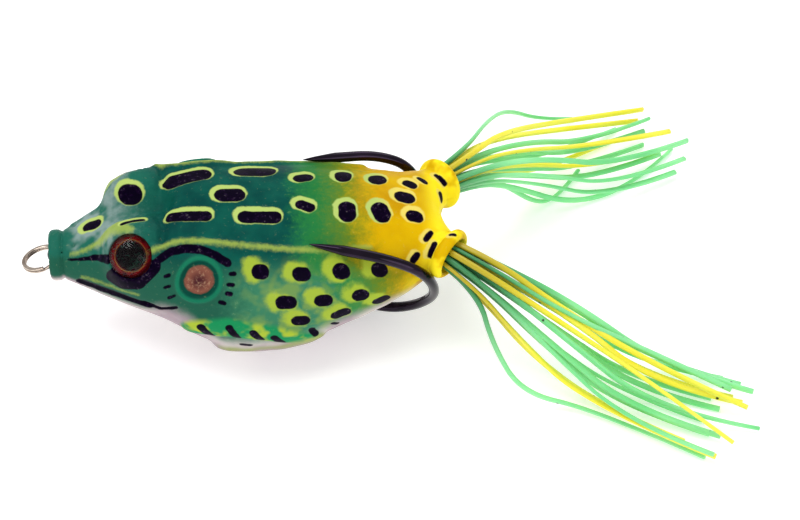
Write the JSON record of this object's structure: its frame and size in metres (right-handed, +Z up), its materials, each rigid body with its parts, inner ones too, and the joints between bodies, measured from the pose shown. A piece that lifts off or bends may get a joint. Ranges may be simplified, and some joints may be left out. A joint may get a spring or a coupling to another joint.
{
  "type": "hollow frog topwater lure",
  "caption": "Soft hollow-bodied frog lure with a nose ring, a double hook lying along its back, and two silicone strand skirt legs.",
  "frame": {"origin": "under the middle of the lure's body and ring, on the surface that its belly rests on", "axes": "+X from nose to tail, +Y to the frog's right side, +Z up"},
  "size_m": [0.0959, 0.069, 0.0225],
  "materials": {
    "soft_body": "satin soft vinyl, green back with dark spots, yellow rear, pale belly",
    "hook": "glossy black nickel",
    "lead": "dull cast lead",
    "ring": "bright nickel",
    "eye_disc": "dark red with a thin gold ring and a black pupil",
    "eye_dome": "clear polished resin",
    "skirt_band": "matt black rubber",
    "green_strands": "translucent mint silicone with dark flecks",
    "yellow_strands": "translucent yellow silicone with dark flecks"
  },
  "bodies": {
    "frog": {"frog_body": "soft_body", "double_hook": "hook", "belly_weight": "lead", "left_eye_disc": "eye_disc", "left_eye_dome": "eye_dome", "right_eye_disc": "eye_disc", "right_eye_dome": "eye_dome"},
    "ring": {"line_ring": "ring"},
    "left_leg": {"left_skirt_band": "skirt_band", "left_green_strand_1": "green_strands", "left_green_strand_2": "green_strands", "left_green_strand_3": "green_strands", "left_green_strand_4": "green_strands", "left_green_strand_5": "green_strands", "left_green_strand_6": "green_strands", "left_green_strand_7": "green_strands", "left_green_strand_8": "green_strands", "left_green_strand_9": "green_strands", "left_green_strand_10": "green_strands", "left_green_strand_11": "green_strands", "left_green_strand_12": "green_strands", "left_yellow_strand_1": "yellow_strands", "left_yellow_strand_2": "yellow_strands", "left_yellow_strand_3": "yellow_strands", "left_yellow_strand_4": "yellow_strands", "left_yellow_strand_5": "yellow_strands", "left_yellow_strand_6": "yellow_strands"},
    "right_leg": {"right_skirt_band": "skirt_band", "right_green_strand_1": "green_strands", "right_green_strand_2": "green_strands", "right_green_strand_3": "green_strands", "right_green_strand_4": "green_strands", "right_green_strand_5": "green_strands", "right_green_strand_6": "green_strands", "right_green_strand_7": "green_strands", "right_green_strand_8": "green_strands", "right_green_strand_9": "green_strands", "right_green_strand_10": "green_strands", "right_green_strand_11": "green_strands", "right_yellow_strand_1": "yellow_strands", "right_yellow_strand_2": "yellow_strands", "right_yellow_strand_3": "yellow_strands", "right_yellow_strand_4": "yellow_strands", "right_yellow_strand_5": "yellow_strands"}
  },
  "joints": [
    {"name": "ring_swing", "type": "hinge", "parent": "frog", "child": "ring", "pos_m": [-0.02437, 0, 0.0129], "axis": [0, 1, 0], "range_deg": [0, 25]},
    {"name": "left_leg_swing", "type": "hinge", "parent": "frog", "child": "left_leg", "pos_m": [0.02537, -0.00551, 0.01604], "axis": [0, 0, 1], "range_deg": [-8, 8]},
    {"name": "right_leg_swing", "type": "hinge", "parent": "frog", "child": "right_leg", "pos_m": [0.02537, 0.00551, 0.01604], "axis": [0, 0, 1], "range_deg": [-8, 8]}
  ]
}
